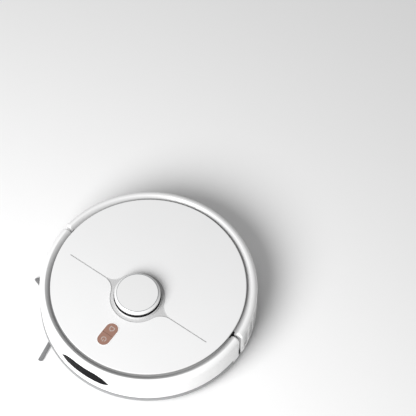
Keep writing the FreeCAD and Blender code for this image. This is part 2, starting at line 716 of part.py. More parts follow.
def make_brush_blades():
    """Six chevron blades, each of two twisted halves."""
    inner, outer, thick = size("core_radius"), size("brush_radius"), 2.2
    half = size("brush_half") - 1

    def section(y, turn):
        corners = [Vector(inner - 0.3, 0, -thick / 2), Vector(outer, 0, -thick / 2),
                   Vector(outer, 0, thick / 2), Vector(inner - 0.3, 0, thick / 2)]
        wire = Part.makePolygon(corners + corners[:1])
        wire.Placement = Placement(Vector(0, y, 0), Rotation(Vector(0, 1, 0), turn))
        return wire
    blades = []
    for start in range(0, 360, 60):
        for end in (-half, half):
            blades.append(Part.makeLoft([section(0, start), section(end / 2, start + 11), section(end, start + 22)],
                                        True, True))
    solid = blades[0].multiFuse(blades[1:])
    solid = solid.cut(Part.makeCylinder(inner, 400, Vector(0, -200, 0), Vector(0, 1, 0)))
    feature = coded("blade_set", solid)
    feature.Placement = Placement(Vector(size("brush_x"), 0, size("brush_level")), Rotation())
    return feature


def make_bearings():
    """The turret's bearing and the main brush's two."""
    turret = ring("lidar_bearing", "11", "5 + running_gap", ("57.5", "63"), TURRET)
    return group("bearings", turret, *[ring(f"{side}_bearing", "9", "4 + running_gap", span, BRUSH, "y")
                               for side, span in (("left", ("73", "77.5")), ("right", ("-77.5", "-73")))])


def make_brush_belt():
    gap = size("running_gap")
    return coded("brush_belt_loop", belt_loop(
        Vector(size("brush_x"), 80.4, size("brush_level")),
        Vector(size("brush_motor_x"), 80.4, size("brush_motor_level")),
        size("brush_sheave") + gap, size("motor_sheave") + gap, 1.2, 3.2, Vector(0, 1, 0)))


def make_brush_guard():
    plate = block("guard_plate", ("brush_x - 30", "brush_x + 27"), ("-84", "90"),
                  ("underside - 2.4", "underside - 0.1"))
    return cut("guard", plate, block("guard_window", ("brush_x - 20.5", "brush_x + 20.5"),
                                     ("-brush_half - 1", "brush_half + 1"), ("0", "20")))


# ---------------------------------------------------------------- side brush

SIDE = ("side_x", "side_y")


def make_side_hub():
    hub = [rod("side_disc", "10.5", ("4.2", "9.3"), SIDE), rod("side_stem", "4", ("9", "21"), SIDE)]
    arm = rod("side_arm", "2.6", ("8", "17"), ("0", "6.2"), "x")
    for turn in (0, 120, 240):
        socket = spun(f"side_arm_{turn}", arm, size("tuft_angle") + turn)
        socket.Placement.Base = Vector(size("side_x"), size("side_y"), 0)
        hub.append(socket)
    return join("side_hub", *hub)


def make_tufts():
    """Three tufts that widen and dip towards their tips."""
    tufts = []
    for turn in (0, 120, 240):
        tuft = padded(f"tuft_{turn}", [("17.2", "-1.6"), ("tuft_reach", "-3.9"), ("tuft_reach", "3.9"),
                                       ("17.2", "1.6")], "0", "2")
        dip = Rotation(Vector(0, 1, 0), 2.2)
        spin = Rotation(Vector(0, 0, 1), size("tuft_angle") + turn)
        tuft.setExpression("Placement.Base.z", None)
        tuft.Placement = Placement(Vector(size("side_x"), size("side_y"), 5.6), spin.multiply(dip))
        tufts.append(tuft)
    return group("tufts", *tufts)


def make_side_gearmotor():
    """The gearbox that turns the side brush, with its motor on top."""
    return cut("side_gearmotor", join("side_gearmotor_solid",
                                      rod("side_gearbox_can", "17", ("underside + floor_depth", "34"), SIDE),
                                      rod("side_motor_can", "10", ("33", "56"), SIDE)),
               rod("side_gearbox_bore", "4 + running_gap", ("10", "22"), SIDE))


# ---------------------------------------------------------------- dust bin

def make_dustbin():
    outer = common("bin_outer", block("bin_block", ("-180", "bin_front"), ("-bin_half", "bin_half"),
                                      ("bin_low", "bin_top - 2")),
                   rod("bin_curve", "bin_rear", ("0", "90"), ("0", "0")))
    inner = common("bin_inner", block("bin_room", ("-180", "bin_front - bin_skin"),
                                      ("bin_skin - bin_half", "bin_half - bin_skin"),
                                      ("bin_low + bin_skin", "90")),
                   rod("bin_room_curve", "bin_rear - bin_skin", ("0", "95"), ("0", "0")))
    return cut("bin", outer, inner,
               block("bin_inlet", ("bin_front - 4", "bin_front + 1"), ("-36", "36"), ("26", "40")),
               block("filter_window", ("bin_front - 4", "bin_front + 1"), ("-44", "44"), ("48", "56")),
               block("bin_button_hole", ("-180", "-160"), ("-11.4", "11.4"), ("43.6", "54.4")))


def make_bin_lid():
    sheet_of_lid = block("lid_block", ("-180", "bin_front"), ("-bin_half", "bin_half"), ("bin_top - 2", "bin_top"))
    return common("lid", sheet_of_lid, rod("lid_curve", "bin_rear", ("0", "90"), ("0", "0")))


def make_bin_button():
    wall = ring("button_wall", "bin_rear + 0.3", "bin_rear - bin_skin - 0.6", ("0", "90"), ("0", "0"))
    return common("bin_tab", wall, block("bin_tab_block", ("-180", "-150"), ("-11", "11"), ("44", "54")))


# ---------------------------------------------------------------- fan

FAN = ("fan_x", "fan_y")


def make_fan_housing():
    """The blower's case, with its intake from the bin's filter and its outlet to the side vents."""
    can = join("fan_can", rod("fan_drum", "fan_radius + 2", ("fan_low", "fan_top"), FAN),
               block("intake_outer", ("bin_front + 0.4", "fan_x - 24"), ("-46", "46"), ("47.2", "58.6")),
               block("fan_duct", ("fan_x - 30", "fan_x - 4"), ("fan_y + 10", "138"), ("fan_low", "fan_top")))
    return cut("fan_case", can, rod("fan_room", "fan_radius", ("fan_low + 2", "fan_top - 2"), FAN),
               block("fan_duct_room", ("fan_x - 28", "fan_x - 6"), ("fan_y + 8", "140"),
                     ("fan_low + 2", "fan_top - 2")),
               block("intake_inner", ("bin_front - 1", "fan_x - 26"), ("-44", "44"), ("49", "57")))


def make_impeller():
    blades = [rod("fan_shaft", "2", ("56.6", "66"), FAN), rod("fan_disc", "26", ("57.4", "58.6"), FAN),
              rod("fan_boss", "8", ("58", "66"), FAN)]
    blade = block("fan_blade", ("6", "25"), ("-0.5", "0.5"), ("58", "65.5"))
    for turn in range(0, 360, 40):
        vane = spun(f"fan_blade_{turn}", blade, turn)
        vane.Placement.Base = Vector(size("fan_x"), size("fan_y"), 0)
        blades.append(vane)
    return join("impeller", *blades)


# ---------------------------------------------------------------- small pieces

def make_base_screws():
    screws = []
    for number, (x, y) in enumerate(POSTS):
        head = rod(f"head_{number}", "2.8", ("underside + 0.2", "underside + 1.8"), (x, y))
        shank = rod(f"shank_{number}", "1.45", ("underside + 1.7", "28"), (x, y))
        slot = join(f"cross_{number}",
                    block(f"cross_{number}_long", (f"{x} - 1.7", f"{x} + 1.7"), (f"{y} - 0.3", f"{y} + 0.3"),
                          ("0", "underside + 1")),
                    block(f"cross_{number}_wide", (f"{x} - 0.3", f"{x} + 0.3"), (f"{y} - 1.7", f"{y} + 1.7"),
                          ("0", "underside + 1")))
        screws.append(cut(f"screw_{number}", join(f"screw_{number}_solid", head, shank), slot))
    return group("screws", *screws)


def make_cliff_windows():
    eye = rod("cliff_lens", "5.8", ("underside + 0.1", "underside + 1.6"), ("150", "0"))
    return group("cliff_lenses", *[spun(f"cliff_lens_{turn + 90}", eye, turn) for turn in (-64, -22, 22, 64)])


def make_bumper_springs():
    gap = size("wall_top") - size("skin") - size("inner_wall")
    springs = []
    for side in (-1, 1):
        spring = coil(2.6, 0.5, gap - 1.9, 3, Vector(), 0)
        place = Placement(Vector(size("inner_wall") + 0.6, 0, 45), ALONG["x"])
        spring.Placement = Placement(Vector(), Rotation(Vector(0, 0, 1), side * 38)).multiply(place)
        springs.append(spring)
    return coded("spring_pair", Part.makeCompound(springs))


def make_bumper_switches():
    """Two small switches on the inner wall, behind the bumper."""
    box = block("switch_box", ("inner_wall - skin - 7.3", "inner_wall - skin - 0.3"), ("-7", "7"), ("38", "50"))
    return group("switches", *[spun(f"switch_{turn + 90}", box, turn) for turn in (-55, 55)])


# ---------------------------------------------------------------- nodes

node("base_chassis", make_base_chassis())
node("rear_shell", make_rear_shell())
node("mid_frame", make_mid_frame())
node("top_plate", make_top_plate())
bumper_blank = make_bumper_blank()
node("front_bumper", cut("bumper_shell", bumper_blank, window_shape("window_seat", "0")))
node("bumper_window", common("window_pane", bumper_blank, window_shape("window_blank", "0.05")))
node("bumper_springs", make_bumper_springs())
node("bumper_switches", make_bumper_switches())

node("turret_base", make_turret_base())
node("turret_cap", make_turret_cap())
node("lidar_rotor", make_lidar_rotor())
node("lidar_lenses", make_lidar_lenses())
node("lidar_bracket", make_lidar_bracket())
motor_x, motor_y = lidar_motor_place()
node("lidar_motor", rod("lidar_motor_can", "10", ("44", "57.5"), (f"{motor_x:.3f}", f"{motor_y:.3f}")))
node("lidar_motor_pulley", make_lidar_motor_pulley())
node("lidar_belt", make_lidar_belt())

node("button_bezel", make_bezel())
node("home_button", make_button("home", "-button_gap / 2", "-20.5"))
node("power_button", make_button("power", "20.5", "button_gap / 2"))
node("main_board", make_main_board())
node("battery_pack", block("battery", ("11", "83"), ("-67", "67"), ("12.8", "34")))
node("battery_cover", block("cover", ("8.3", "85.7"), ("-69.7", "69.7"), ("underside", "underside + 2.3")))
node("speaker", rod("speaker_can", "16", ("underside + floor_depth", "22"), ("98", "92")))

left = {
    "wheel_arm": make_arm(),
    "wheel_motor": rod("wheel_motor_can", "7.5", ("14", "44"), ("99.5", "50"), "x"),
    "wheel_hub": make_hub(),
    "tyre": make_tyre(),
}
for word, piece in left.items():
    node("left_" + word, piece)
    node("right_" + word, mirrored("right_" + word, piece))
pin = rod("left_pivot_pin", "axle_radius", ("88", "134"), ("pivot_x", "pivot_level"), "y")
node("wheel_pivot_pins", group("pivot_pins", pin, mirrored("right_pivot_pin", pin)))
node("left_wheel_spring", make_wheel_spring("left_spring", 1))
node("right_wheel_spring", make_wheel_spring("right_spring", -1))

node("caster_fork", make_caster_fork())
node("caster_wheel", make_caster_wheel())
node("caster_axle", rod("caster_pin", "1.5", ("-9.3", "9.3"), ("caster_x - caster_trail", "caster_radius"), "y"))

node("brush_housing", make_brush_housing())
node("main_brush_core", make_brush_core())
node("main_brush_blades", make_brush_blades())
node("brush_pulley", ring("brush_sheave_ring", "brush_sheave", "4", ("79.5", "84.5"), BRUSH, "y"))
node("bearings", make_bearings())
node("brush_motor", rod("brush_motor_can", "12.5", ("18", "76"), BRUSH_MOTOR, "y"))
node("brush_motor_pulley", join("motor_pulley", rod("motor_shaft", "1.5", ("76.2", "80"), BRUSH_MOTOR, "y"),
                                rod("motor_wheel", "motor_sheave", ("79.5", "84.5"), BRUSH_MOTOR, "y")))
node("brush_belt", make_brush_belt())
node("brush_guard", make_brush_guard())

node("side_brush_hub", make_side_hub())
node("side_brush_tufts", make_tufts())
node("side_brush_gearmotor", make_side_gearmotor())

node("dustbin", make_dustbin())
node("bin_lid", make_bin_lid())
node("bin_filter", block("filter", ("bin_front - bin_skin - 11", "bin_front - bin_skin - 0.1"),
                         ("-48", "48"), ("43", "58")))
node("bin_button", make_bin_button())
node("inlet_seal", cut("seal",
                       block("seal_block", ("bin_front + 0.1", "brush_x - 24"), ("-40", "40"), ("23", "43")),
                       block("seal_way", ("-120", "-80"), ("-36", "36"), ("26", "40"))))

node("fan_housing", make_fan_housing())
node("fan_motor", rod("fan_motor_can", "14", ("fan_low + 2", "56.4"), FAN))
node("fan_impeller", make_impeller())

node("charging_contacts", group("contacts", *[
    block(f"contact_{side}", ("-151", "-133"), y, ("underside - 0.3", "underside + 0.8"))
    for side, y in (("left", ("23", "39")), ("right", ("-39", "-23")))]))
node("cliff_windows", make_cliff_windows())
node("base_screws", make_base_screws())


def check_and_write():
    doc.recompute()
    for obj in doc.Objects:
        if "Invalid" in obj.State or "Error" in obj.State:
            raise RuntimeError(f"{obj.Name} failed: {obj.State}")
    for piece in nodes:
        if piece.Shape.isNull() or not piece.Shape.isValid() or not piece.Shape.Solids:
            raise RuntimeError(f"{piece.Label} has no valid solid")
    for piece in nodes:
        piece.Shape.exportStep(f"parts/{piece.Label}.step")
        print(f"{piece.Label}: {len(piece.Shape.Solids)} solid, {piece.Shape.Volume / 1000:.1f} cm3")


check_and_write()
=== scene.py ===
import json
import math
import random

import bmesh
import bpy
from mathutils import Matrix, Vector


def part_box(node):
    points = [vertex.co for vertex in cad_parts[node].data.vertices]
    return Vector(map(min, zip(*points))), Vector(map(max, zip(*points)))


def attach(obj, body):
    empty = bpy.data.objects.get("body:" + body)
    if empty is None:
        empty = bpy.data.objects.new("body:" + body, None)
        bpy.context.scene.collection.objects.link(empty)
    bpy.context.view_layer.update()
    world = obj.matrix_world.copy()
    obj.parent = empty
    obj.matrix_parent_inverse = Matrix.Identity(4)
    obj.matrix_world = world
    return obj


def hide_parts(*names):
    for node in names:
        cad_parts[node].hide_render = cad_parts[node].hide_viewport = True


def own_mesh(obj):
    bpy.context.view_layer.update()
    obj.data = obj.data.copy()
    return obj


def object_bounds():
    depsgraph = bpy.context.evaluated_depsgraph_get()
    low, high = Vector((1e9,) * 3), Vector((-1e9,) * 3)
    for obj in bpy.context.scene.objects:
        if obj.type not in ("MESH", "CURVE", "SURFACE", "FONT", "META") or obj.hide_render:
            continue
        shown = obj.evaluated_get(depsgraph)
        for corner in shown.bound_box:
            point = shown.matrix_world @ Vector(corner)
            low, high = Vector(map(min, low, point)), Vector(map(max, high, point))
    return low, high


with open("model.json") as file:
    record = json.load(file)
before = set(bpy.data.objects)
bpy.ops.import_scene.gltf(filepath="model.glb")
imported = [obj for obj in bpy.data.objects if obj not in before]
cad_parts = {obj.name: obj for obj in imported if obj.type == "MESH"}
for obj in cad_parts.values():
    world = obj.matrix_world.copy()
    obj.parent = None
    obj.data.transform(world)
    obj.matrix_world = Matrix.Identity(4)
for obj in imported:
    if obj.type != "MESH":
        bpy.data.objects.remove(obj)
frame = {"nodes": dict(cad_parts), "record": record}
cad_low, cad_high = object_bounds()

random.seed(7)


# ---------------------------------------------------------------- camera, stage and light

CAMERA_PLACE = Vector((0.91214, 0.69844, 2.30545))
CAMERA_HEADING = math.radians(-147.02)
CAMERA_DIP = math.radians(59.96)
CAMERA_ROLL = math.radians(2.36)
CAMERA_LENS = 136.35
SENSOR_WIDTH = 36
FLOOR_SIZE = 12
FLOOR_DROP = 0.0002
AMBIENT = 0.33


def make_camera():
    """The photograph's viewpoint: high, from the robot's front left."""
    data = bpy.data.cameras.new("camera")
    data.sensor_width = SENSOR_WIDTH
    data.lens = CAMERA_LENS
    camera = bpy.data.objects.new("camera", data)
    bpy.context.scene.collection.objects.link(camera)
    level = Vector((math.cos(CAMERA_HEADING), math.sin(CAMERA_HEADING), 0))
    forward = level * math.cos(CAMERA_DIP) - Vector((0, 0, math.sin(CAMERA_DIP)))
    right = forward.cross(Vector((0, 0, 1))).normalized()
    up = right.cross(forward)
    tilted_right = right * math.cos(CAMERA_ROLL) + up * math.sin(CAMERA_ROLL)
    tilted_up = up * math.cos(CAMERA_ROLL) - right * math.sin(CAMERA_ROLL)
    turn = Matrix((tilted_right, tilted_up, -forward)).transposed().to_4x4()
    camera.matrix_world = Matrix.Translation(CAMERA_PLACE) @ turn
    bpy.context.scene.camera = camera


def make_floor():
    """A wide, plain, pale floor."""
    bpy.ops.mesh.primitive_plane_add(size=FLOOR_SIZE, location=(0, 0, cad_low.z - FLOOR_DROP))
    floor = bpy.context.object
    floor.name = "floor"
    floor.data.materials.append(plain_material("floor_paper", (0.92, 0.92, 0.92), 0.9))


def area_light(name, azimuth, elevation, distance, size, strength):
    """A round soft light that aims at the robot, at angles in degrees.

    Strength is the radiance that it gives a white surface facing it.
    """
    data = bpy.data.lights.new(name, "AREA")
    data.shape = "DISK"
    data.size = size
    data.energy = strength * math.pi ** 2 * distance ** 2
    light = bpy.data.objects.new(name, data)
    around = math.radians(azimuth)
    above = math.radians(elevation)
    level = Vector((math.cos(around), math.sin(around), 0))
    towards = level * math.cos(above) + Vector((0, 0, math.sin(above)))
    light.location = towards * distance
    light.rotation_mode = "QUATERNION"
    light.rotation_quaternion = towards.to_track_quat("Z", "Y")
    bpy.context.scene.collection.objects.link(light)


def make_lights():
    """Even light from all round, and one large soft light from the front that casts the shadows."""
    world = bpy.data.worlds.new("studio")
    world.use_nodes = True
    background = world.node_tree.nodes["Background"]
    background.inputs["Color"].default_value = (1, 1, 1, 1)
    background.inputs["Strength"].default_value = AMBIENT
    bpy.context.scene.world = world
    area_light("key", azimuth=-3, elevation=42, distance=2.2, size=1.5, strength=1.25)


# ---------------------------------------------------------------- materials

def shader(material):
    """The node that all of a material's inputs are on."""
    return next(n for n in material.node_tree.nodes if n.type == "BSDF_PRINCIPLED")


def plain_material(name, colour, roughness):
    """A material with an even colour and roughness."""
    material = bpy.data.materials.new(name)
    material.use_nodes = True
    surface = shader(material)
    surface.inputs["Base Color"].default_value = (*colour, 1)
    surface.inputs["Roughness"].default_value = roughness
    return material


COAT_ROUGHNESS = 0.08
BUMP_DEPTH = 0.0004
BROAD_GRAIN = 14
ROUGHNESS_DRIFT = 0.06
LEAST_ROUGHNESS = 0.02


def noise(tree, place, scale, detail):
    """A noise texture laid out by place, and the value that it gives."""
    texture = tree.nodes.new("ShaderNodeTexNoise")
    texture.inputs["Scale"].default_value = scale
    texture.inputs["Detail"].default_value = detail
    tree.links.new(place, texture.inputs["Vector"])
    return texture.outputs["Fac"]


def textured(name, colour, roughness, grain, bump, drift, metallic=0.0, coat=0.0, shine=0.5,
             stretch=(1, 1, 1)):
    """Moulded or drawn surface: fine grain in the bump and roughness, and a slight drift of colour."""
    material = plain_material(name, colour, roughness)
    tree = material.node_tree
    surface = shader(material)
    surface.inputs["Metallic"].default_value = metallic
    surface.inputs["Coat Weight"].default_value = coat
    surface.inputs["Specular IOR Level"].default_value = shine
    surface.inputs["Coat Roughness"].default_value = COAT_ROUGHNESS
    place = tree.nodes.new("ShaderNodeTexCoord")
    mapping = tree.nodes.new("ShaderNodeMapping")
    mapping.inputs["Scale"].default_value = stretch
    tree.links.new(place.outputs["Object"], mapping.inputs["Vector"])
    fine = noise(tree, mapping.outputs["Vector"], scale=grain, detail=4)
    broad = noise(tree, mapping.outputs["Vector"], scale=BROAD_GRAIN, detail=3)
    bumper = tree.nodes.new("ShaderNodeBump")
    bumper.inputs["Strength"].default_value = bump
    bumper.inputs["Distance"].default_value = BUMP_DEPTH
    tree.links.new(fine, bumper.inputs["Height"])
    tree.links.new(bumper.outputs["Normal"], surface.inputs["Normal"])
    spread = tree.nodes.new("ShaderNodeMapRange")
    spread.inputs["To Min"].default_value = max(roughness - ROUGHNESS_DRIFT, LEAST_ROUGHNESS)
    spread.inputs["To Max"].default_value = roughness + ROUGHNESS_DRIFT
    tree.links.new(fine, spread.inputs["Value"])
    tree.links.new(spread.outputs["Result"], surface.inputs["Roughness"])
    blend = tree.nodes.new("ShaderNodeMix")
    blend.data_type = "RGBA"
    blend.inputs["A"].default_value = (*[c * (1 - drift) for c in colour], 1)
    blend.inputs["B"].default_value = (*[min(c * (1 + drift), 1) for c in colour], 1)
    tree.links.new(broad, blend.inputs["Factor"])
    tree.links.new(blend.outputs["Result"], surface.inputs["Base Color"])
    return material


def paint_shade_by_place(material, measure, low, high, factor):
    """Paint shade into a material's colour: darken it where a measure is low, the radius from the middle
    axis, or the height.
    """
    tree = material.node_tree
    surface = shader(material)
    colour = surface.inputs["Base Color"].links[0].from_socket
    place = tree.nodes.new("ShaderNodeTexCoord")
    if measure == "radius":
        flat = tree.nodes.new("ShaderNodeVectorMath")
        flat.operation = "MULTIPLY"
        flat.inputs[1].default_value = (1, 1, 0)
        length = tree.nodes.new("ShaderNodeVectorMath")
        length.operation = "LENGTH"
        tree.links.new(place.outputs["Object"], flat.inputs[0])
        tree.links.new(flat.outputs["Vector"], length.inputs[0])
        value = length.outputs["Value"]
    else:
        split = tree.nodes.new("ShaderNodeSeparateXYZ")
        tree.links.new(place.outputs["Object"], split.inputs["Vector"])
        value = split.outputs["Z"]
    spread = tree.nodes.new("ShaderNodeMapRange")
    spread.inputs["From Min"].default_value = low
    spread.inputs["From Max"].default_value = high
    spread.inputs["To Min"].default_value = factor
    tree.links.new(value, spread.inputs["Value"])
    scale = tree.nodes.new("ShaderNodeVectorMath")
    scale.operation = "SCALE"
    tree.links.new(colour, scale.inputs[0])
    tree.links.new(spread.outputs["Result"], scale.inputs["Scale"])
    tree.links.new(scale.outputs["Vector"], surface.inputs["Base Color"])


# The finish of each slot: its colour, roughness, the fineness of its grain, the strength of its bump
# and how far its colour drifts. Some are metal, have a clear coat, shine less or have a stretched grain.
# key_mark is for the keys' symbols, which the record has no slot for.
FINISHES = {
    "casing_white": dict(colour=(0.9, 0.9, 0.9), roughness=0.3, grain=700, bump=0.015, drift=0.01,
                         coat=0.2),
    "plate_white": dict(colour=(0.815, 0.815, 0.817), roughness=0.42, grain=1100, bump=0.03, drift=0.012),
    "turret_white": dict(colour=(0.77, 0.77, 0.77), roughness=0.24, grain=700, bump=0.01, drift=0.01,
                         coat=0.3),
    "bezel_white": dict(colour=(0.92, 0.92, 0.92), roughness=0.15, grain=700, bump=0.01, drift=0.01,
                        coat=0.6),
    "bin_white": dict(colour=(0.84, 0.84, 0.84), roughness=0.3, grain=800, bump=0.02, drift=0.01, coat=0.2),
    "chassis_grey": dict(colour=(0.3, 0.303, 0.308), roughness=0.5, grain=1500, bump=0.12, drift=0.03),
    "cover_grey": dict(colour=(0.26, 0.263, 0.268), roughness=0.52, grain=1500, bump=0.12, drift=0.03),
    "guard_grey": dict(colour=(0.2, 0.203, 0.207), roughness=0.5, grain=1400, bump=0.1, drift=0.03),
    "latch_grey": dict(colour=(0.42, 0.425, 0.43), roughness=0.45, grain=1200, bump=0.06, drift=0.02),
    "window_black": dict(colour=(0.008, 0.008, 0.009), roughness=0.12, grain=300, bump=0.004, drift=0.1,
                         shine=0.004),
    "button_copper": dict(colour=(0.42, 0.235, 0.18), roughness=0.38, grain=2200, bump=0.04, drift=0.05,
                          metallic=0.35, coat=0.2),
    "key_mark": dict(colour=(0.5, 0.44, 0.41), roughness=0.4, grain=1200, bump=0.02, drift=0.03),
    "rotor_black": dict(colour=(0.012, 0.012, 0.013), roughness=0.35, grain=900, bump=0.05, drift=0.1),
    "inner_black": dict(colour=(0.035, 0.035, 0.04), roughness=0.5, grain=1100, bump=0.08, drift=0.08),
    "inner_grey": dict(colour=(0.3, 0.31, 0.32), roughness=0.5, grain=1100, bump=0.08, drift=0.04),
    "arm_black": dict(colour=(0.05, 0.05, 0.055), roughness=0.45, grain=1100, bump=0.08, drift=0.06),
    "fork_black": dict(colour=(0.045, 0.045, 0.05), roughness=0.42, grain=1100, bump=0.06, drift=0.06),
    "hub_grey": dict(colour=(0.25, 0.26, 0.27), roughness=0.45, grain=1100, bump=0.06, drift=0.04),
    "core_grey": dict(colour=(0.4, 0.41, 0.42), roughness=0.42, grain=1100, bump=0.05, drift=0.03),
    "side_hub_white": dict(colour=(0.72, 0.72, 0.72), roughness=0.4, grain=1100, bump=0.05, drift=0.03),
    "pulley_nylon": dict(colour=(0.75, 0.73, 0.68), roughness=0.4, grain=1100, bump=0.04, drift=0.03),
    "impeller_nylon": dict(colour=(0.09, 0.09, 0.1), roughness=0.4, grain=1100, bump=0.04, drift=0.06),
    "tyre_rubber": dict(colour=(0.035, 0.035, 0.036), roughness=0.75, grain=600, bump=0.3, drift=0.2),
    "caster_rubber": dict(colour=(0.06, 0.06, 0.062), roughness=0.65, grain=700, bump=0.2, drift=0.15),
    "blade_rubber": dict(colour=(0.16, 0.165, 0.175), roughness=0.6, grain=700, bump=0.15, drift=0.08),
    "belt_rubber": dict(colour=(0.02, 0.02, 0.02), roughness=0.7, grain=700, bump=0.15, drift=0.15),
    "seal_rubber": dict(colour=(0.05, 0.05, 0.05), roughness=0.75, grain=600, bump=0.2, drift=0.15),
    "tuft_grey": dict(colour=(0.27, 0.27, 0.275), roughness=0.5, grain=400, bump=0.1, drift=0.15),
    "filter_paper": dict(colour=(0.85, 0.85, 0.82), roughness=0.85, grain=500, bump=0.4, drift=0.04),
    "bin_lid_clear": dict(colour=(0.1, 0.105, 0.115), roughness=0.12, grain=300, bump=0.01, drift=0.04,
                          coat=0.5),
    "battery_blue": dict(colour=(0.03, 0.1, 0.3), roughness=0.35, grain=300, bump=0.05, drift=0.08),
    "board_green": dict(colour=(0.015, 0.13, 0.05), roughness=0.4, grain=900, bump=0.06, drift=0.1),
    "lens_glass": dict(colour=(0.05, 0.004, 0.008), roughness=0.04, grain=200, bump=0.002, drift=0.1,
                       coat=1.0),
    "motor_steel": dict(colour=(0.62, 0.62, 0.63), roughness=0.32, grain=600, bump=0.05, drift=0.04,
                        metallic=1.0, stretch=(1, 1, 12)),
    "bearing_steel": dict(colour=(0.65, 0.65, 0.66), roughness=0.25, grain=800, bump=0.03, drift=0.03,
                          metallic=1.0),
    "axle_steel": dict(colour=(0.62, 0.62, 0.63), roughness=0.25, grain=800, bump=0.03, drift=0.03,
                       metallic=1.0),
    "spring_steel": dict(colour=(0.5, 0.5, 0.52), roughness=0.3, grain=800, bump=0.03, drift=0.05,
                         metallic=1.0),
    "screw_steel": dict(colour=(0.55, 0.55, 0.56), roughness=0.3, grain=900, bump=0.05, drift=0.05,
                        metallic=1.0),
    "contact_metal": dict(colour=(0.72, 0.62, 0.45), roughness=0.22, grain=500, bump=0.03, drift=0.04,
                          metallic=1.0, stretch=(12, 1, 1)),
}

# Painted shade: the casing's colour is darkened on the slope inside the crown, grey beside the plate and
# fading to the casing's white, where shade falls, and the plate's colour is darkened on the floor of the
# channel, where shade falls in the recess. Both are set out from the edge and the face of the plate.
SLOPE_START, SLOPE_END, SLOPE_PAINTED_SHADE = 0.0015, 0.0095, 0.40
CHANNEL_FLOOR, CHANNEL_EDGE, CHANNEL_PAINTED_SHADE = 0.0011, 0.0004, 0.66


def make_materials():
    """A material for each finish, with painted shade on the casing and the plate, set by place."""
    made = {name: textured(name, **finish) for name, finish in FINISHES.items()}
    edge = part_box("top_plate")[1]
    # Painted shade on the slope inside the crown: darkest beside the plate, fading to white towards the
    # crown.
    paint_shade_by_place(made["casing_white"], "radius", edge.x + SLOPE_START, edge.x + SLOPE_END, SLOPE_PAINTED_SHADE)
    # Painted shade in the channel: the plate's colour darkens where its surface sinks below the plate's
    # face.
    paint_shade_by_place(made["plate_white"], "height", edge.z - CHANNEL_FLOOR, edge.z - CHANNEL_EDGE,
                   CHANNEL_PAINTED_SHADE)
    return made


def dress_nodes(materials):
    """Give each carried-over CAD node the material of its slot."""
    for entry in frame["record"]["subparts"]:
        node = frame["nodes"][entry["node"]]
        for held in node.material_slots:
            held.material = materials[entry["material_slot"]]


# ---------------------------------------------------------------- pieces


def add_piece(name, mesh, body, slot):
    """Put a finished mesh in the scene, on a CAD body and with a slot's material."""
    piece = bpy.data.objects.new(name, mesh)
    bpy.context.scene.collection.objects.link(piece)
    mesh.materials.append(materials[slot])
    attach(piece, body)
    return piece


# A ribbon's corners are cut as if they were no sharper than this, so that their points stay short.
LEAST_MITRE = 0.4


def ribbon(build, path, width, low, high, closed=False):
    """Add a raised flat line that follows a path of (x, y) points, to a bmesh."""
    count = len(path)
    rows = []
    for i, (x, y) in enumerate(path):
        back = path[i - 1] if i or closed else path[i]
        ahead = path[(i + 1) % count] if i < count - 1 or closed else path[i]
        into = Vector((x - back[0], y - back[1]))
        out = Vector((ahead[0] - x, ahead[1] - y))
        if into.length == 0:
            into = out
        if out.length == 0:
            out = into
        into.normalize()
        out.normalize()
        along = (into + out).normalized()
        reach = width / 2 / max(along.dot(out), LEAST_MITRE)
        side = Vector((-along.y, along.x)) * reach
        rows.append([build.verts.new((x + s * side.x, y + s * side.y, z))
                     for s, z in ((1, low), (1, high), (-1, high), (-1, low))])
    pairs = list(zip(rows, rows[1:])) + ([(rows[-1], rows[0])] if closed else [])
    for first, second in pairs:
        for i in range(4):
            build.faces.new((first[i], first[(i + 1) % 4], second[(i + 1) % 4], second[i]))
    if not closed:
        build.faces.new(rows[0][::-1])
        build.faces.new(rows[-1])


def arc(centre, radius, start, end, steps=40):
    """Points on a round line, in degrees from +X."""
    turns = [math.radians(start + (end - start) * i / steps) for i in range(steps + 1)]
    return [(centre[0] + radius * math.cos(turn), centre[1] + radius * math.sin(turn)) for turn in turns]


def closed_mesh(name, build):
    """Turn a bmesh into a mesh whose faces all point outwards."""
    bmesh.ops.recalc_face_normals(build, faces=build.faces)
    mesh = bpy.data.meshes.new(name)
    build.to_mesh(mesh)
    build.free()
    return mesh


MARK_LINE = 0.0011
MARK_SINK, MARK_RISE = 0.0003, 0.00006
HOUSE = ((0.0040, 0), (0.0008, 0.0036), (-0.0034, 0.0036), (-0.0034, -0.0036), (0.0008, -0.0036))
POWER_RADIUS, POWER_GAP = 0.0037, 40
POWER_BAR = (0.0006, 0.0046)
RING_RADIUS, RING_LINE, RING_RISE = 0.0082, 0.0004, 0.00003


def make_key_marks():
    """A plain house on the rear key and a plain power sign on the front key, each inside a fine ring."""
    low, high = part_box("home_button")
    half = (high.y - low.y) / 2
    home = (low.x + half, 0)
    power = (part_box("power_button")[1].x - half, 0)
    top = high.z
    sunk, proud = top - MARK_SINK, top + MARK_RISE

    build = bmesh.new()
    ribbon(build, [(home[0] + x, y) for x, y in HOUSE], MARK_LINE, sunk, proud, closed=True)
    add_piece("home_mark", closed_mesh("home_mark", build), "home_key", "key_mark")

    build = bmesh.new()
    ribbon(build, arc(power, POWER_RADIUS, POWER_GAP, 360 - POWER_GAP), MARK_LINE, sunk, proud)
    ribbon(build, [(power[0] + x, 0) for x in POWER_BAR], MARK_LINE, sunk, proud)
    add_piece("power_mark", closed_mesh("power_mark", build), "power_key", "key_mark")

    for name, body, centre in (("home_ring", "home_key", home), ("power_ring", "power_key", power)):
        build = bmesh.new()
        ribbon(build, arc(centre, RING_RADIUS, 0, 360)[:-1], RING_LINE, sunk, top + RING_RISE, closed=True)
        add_piece(name, closed_mesh(name, build), body, "button_copper")


CAP_LINE_RADIUS, CAP_LINE_WIDTH, CAP_LINE_SINK = 0.0328, 0.0008, 0.00002
SLOT_FLOOR_RADIUS, SLOT_FLOOR_REACH, SLOT_FLOOR_RISE = 0.0328, 0.0012, 0.0002
RING_DEPTH = 0.0006
RING_STEPS = 96


